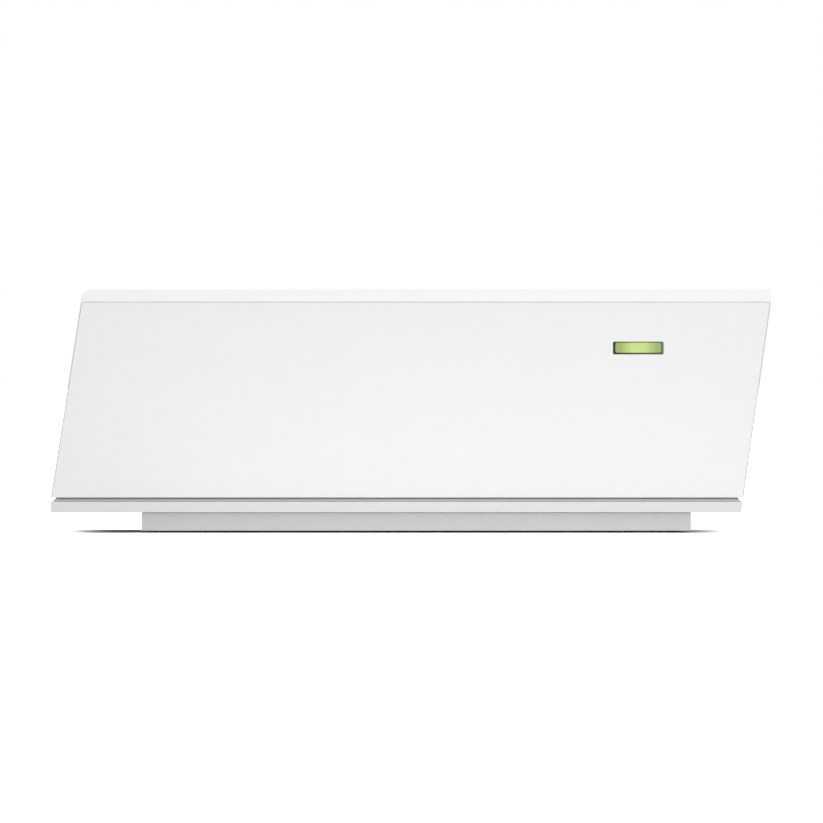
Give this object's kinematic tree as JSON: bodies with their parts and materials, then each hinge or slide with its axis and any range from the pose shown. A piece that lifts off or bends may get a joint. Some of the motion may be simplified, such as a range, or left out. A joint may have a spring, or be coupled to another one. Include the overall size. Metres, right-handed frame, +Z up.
{
  "type": "video doorbell indoor unit",
  "caption": "Low leaning box on a recessed wall bracket, with a lift-off cover, a light window, a chime and rear sockets.",
  "frame": {"origin": "on the standing surface, under the middle of the box's outline", "axes": "+X along the width, to the right as seen from the front; front face towards -Y; +Z up"},
  "size_m": [0.144, 0.112, 0.0487],
  "materials": {
    "shell": "fine spark-eroded texture",
    "panel": "fine spark-eroded texture",
    "bracket": "fine spark-eroded texture",
    "pads": "satin",
    "screws": "zinc plated",
    "lens": "clear tinted, lit from behind",
    "frame_black": "satin",
    "guide": "clear acrylic",
    "lamp": "clear lens over phosphor",
    "board": "green solder mask",
    "board_blue": "blue solder mask",
    "chip": "moulded epoxy",
    "thermal": "soft silicone",
    "alloy": "extruded, natural",
    "tin": "tin plated sheet",
    "cell": "nickel plated",
    "gold": "gold flash",
    "light_small": "diffusing lens",
    "can": "shrink sleeve",
    "ferrite": "sintered ferrite",
    "terminal": "glass-filled polyamide",
    "key": "satin",
    "relay": "polyester case",
    "copper": "enamelled copper wire",
    "button": "satin",
    "wheel": "satin",
    "magnet": "plated ferrite magnet",
    "cone": "pressed pulp",
    "surround": "satin",
    "gasket": "closed-cell foam",
    "lead": "PVC insulation",
    "lead_red": "PVC insulation",
    "connector": "natural polyamide",
    "small": "chip parts with tinned ends",
    "tan_board": "thin laminate"
  },
  "bodies": {
    "bracket": {"wall_bracket": "bracket", "foot_pads": "pads"},
    "housing": {"housing_body": "shell", "rear_panel": "panel", "base_tray": "shell", "case_screws": "screws", "light_lens": "lens", "light_frame": "frame_black", "light_guide": "guide", "light_holder": "frame_black", "status_leds": "lamp", "main_board": "board", "board_screws": "screws", "processor": "chip", "thermal_pad": "thermal", "heat_sink": "alloy", "memory_chips": "chip", "flash_chip": "chip", "video_chip": "chip", "radio_board": "board_blue", "radio_shield": "tin", "antenna_boards": "tan_board", "antenna_leads": "lead", "clock_battery": "cell", "battery_holder": "chip", "network_socket": "tin", "network_contacts": "gold", "network_lights": "light_small", "network_transformer": "chip", "power_socket": "chip", "power_pin": "tin", "input_capacitors": "can", "power_inductors": "ferrite", "power_chips": "chip", "door_terminal": "terminal", "door_relay": "relay", "bus_choke": "copper", "pair_switch": "chip", "reset_switch": "chip", "volume_pot": "chip", "speaker_basket": "tin", "speaker_magnet": "magnet", "speaker_cone": "cone", "speaker_surround": "surround", "speaker_gasket": "gasket", "speaker_screws": "screws", "speaker_leads": "lead_red", "speaker_plug": "connector", "audio_chip": "chip", "crystals": "cell", "small_parts": "small"},
    "cover": {"top_cover": "shell"},
    "pair_key": {"pair_button": "button", "pair_plunger": "connector"},
    "reset_key": {"reset_plunger": "connector"},
    "volume": {"volume_wheel": "wheel"},
    "key_1": {"release_key_1": "key"},
    "key_2": {"release_key_2": "key"},
    "key_3": {"release_key_3": "key"},
    "key_4": {"release_key_4": "key"}
  },
  "joints": [
    {"name": "housing_slide", "type": "slide", "parent": "bracket", "child": "housing", "axis": [1, 0, 0], "range_m": [0, 0.008]},
    {"name": "cover_lift", "type": "slide", "parent": "housing", "child": "cover", "axis": [0, 0, 1], "range_m": [0, 0.06]},
    {"name": "pair_press", "type": "slide", "parent": "housing", "child": "pair_key", "axis": [0, -1, 0], "range_m": [0, 0.0006], "stiffness_N_per_m": 300, "springref_m": -0.003},
    {"name": "reset_press", "type": "slide", "parent": "housing", "child": "reset_key", "axis": [0, -1, 0], "range_m": [0, 0.0006], "stiffness_N_per_m": 300, "springref_m": -0.003},
    {"name": "volume_turn", "type": "hinge", "parent": "housing", "child": "volume", "pos_m": [-0.02492, 0.0476, 0.01735], "axis": [0, 0, 1], "range_deg": [-135, 135]},
    {"name": "release_1", "type": "slide", "parent": "housing", "child": "key_1", "axis": [0, 0, -1], "range_m": [0, 0.0012], "stiffness_N_per_m": 800, "springref_m": -0.001},
    {"name": "release_2", "type": "slide", "parent": "housing", "child": "key_2", "axis": [0, 0, -1], "range_m": [0, 0.0012], "stiffness_N_per_m": 800, "springref_m": -0.001},
    {"name": "release_3", "type": "slide", "parent": "housing", "child": "key_3", "axis": [0, 0, -1], "range_m": [0, 0.0012], "stiffness_N_per_m": 800, "springref_m": -0.001},
    {"name": "release_4", "type": "slide", "parent": "housing", "child": "key_4", "axis": [0, 0, -1], "range_m": [0, 0.0012], "stiffness_N_per_m": 800, "springref_m": -0.001}
  ]
}
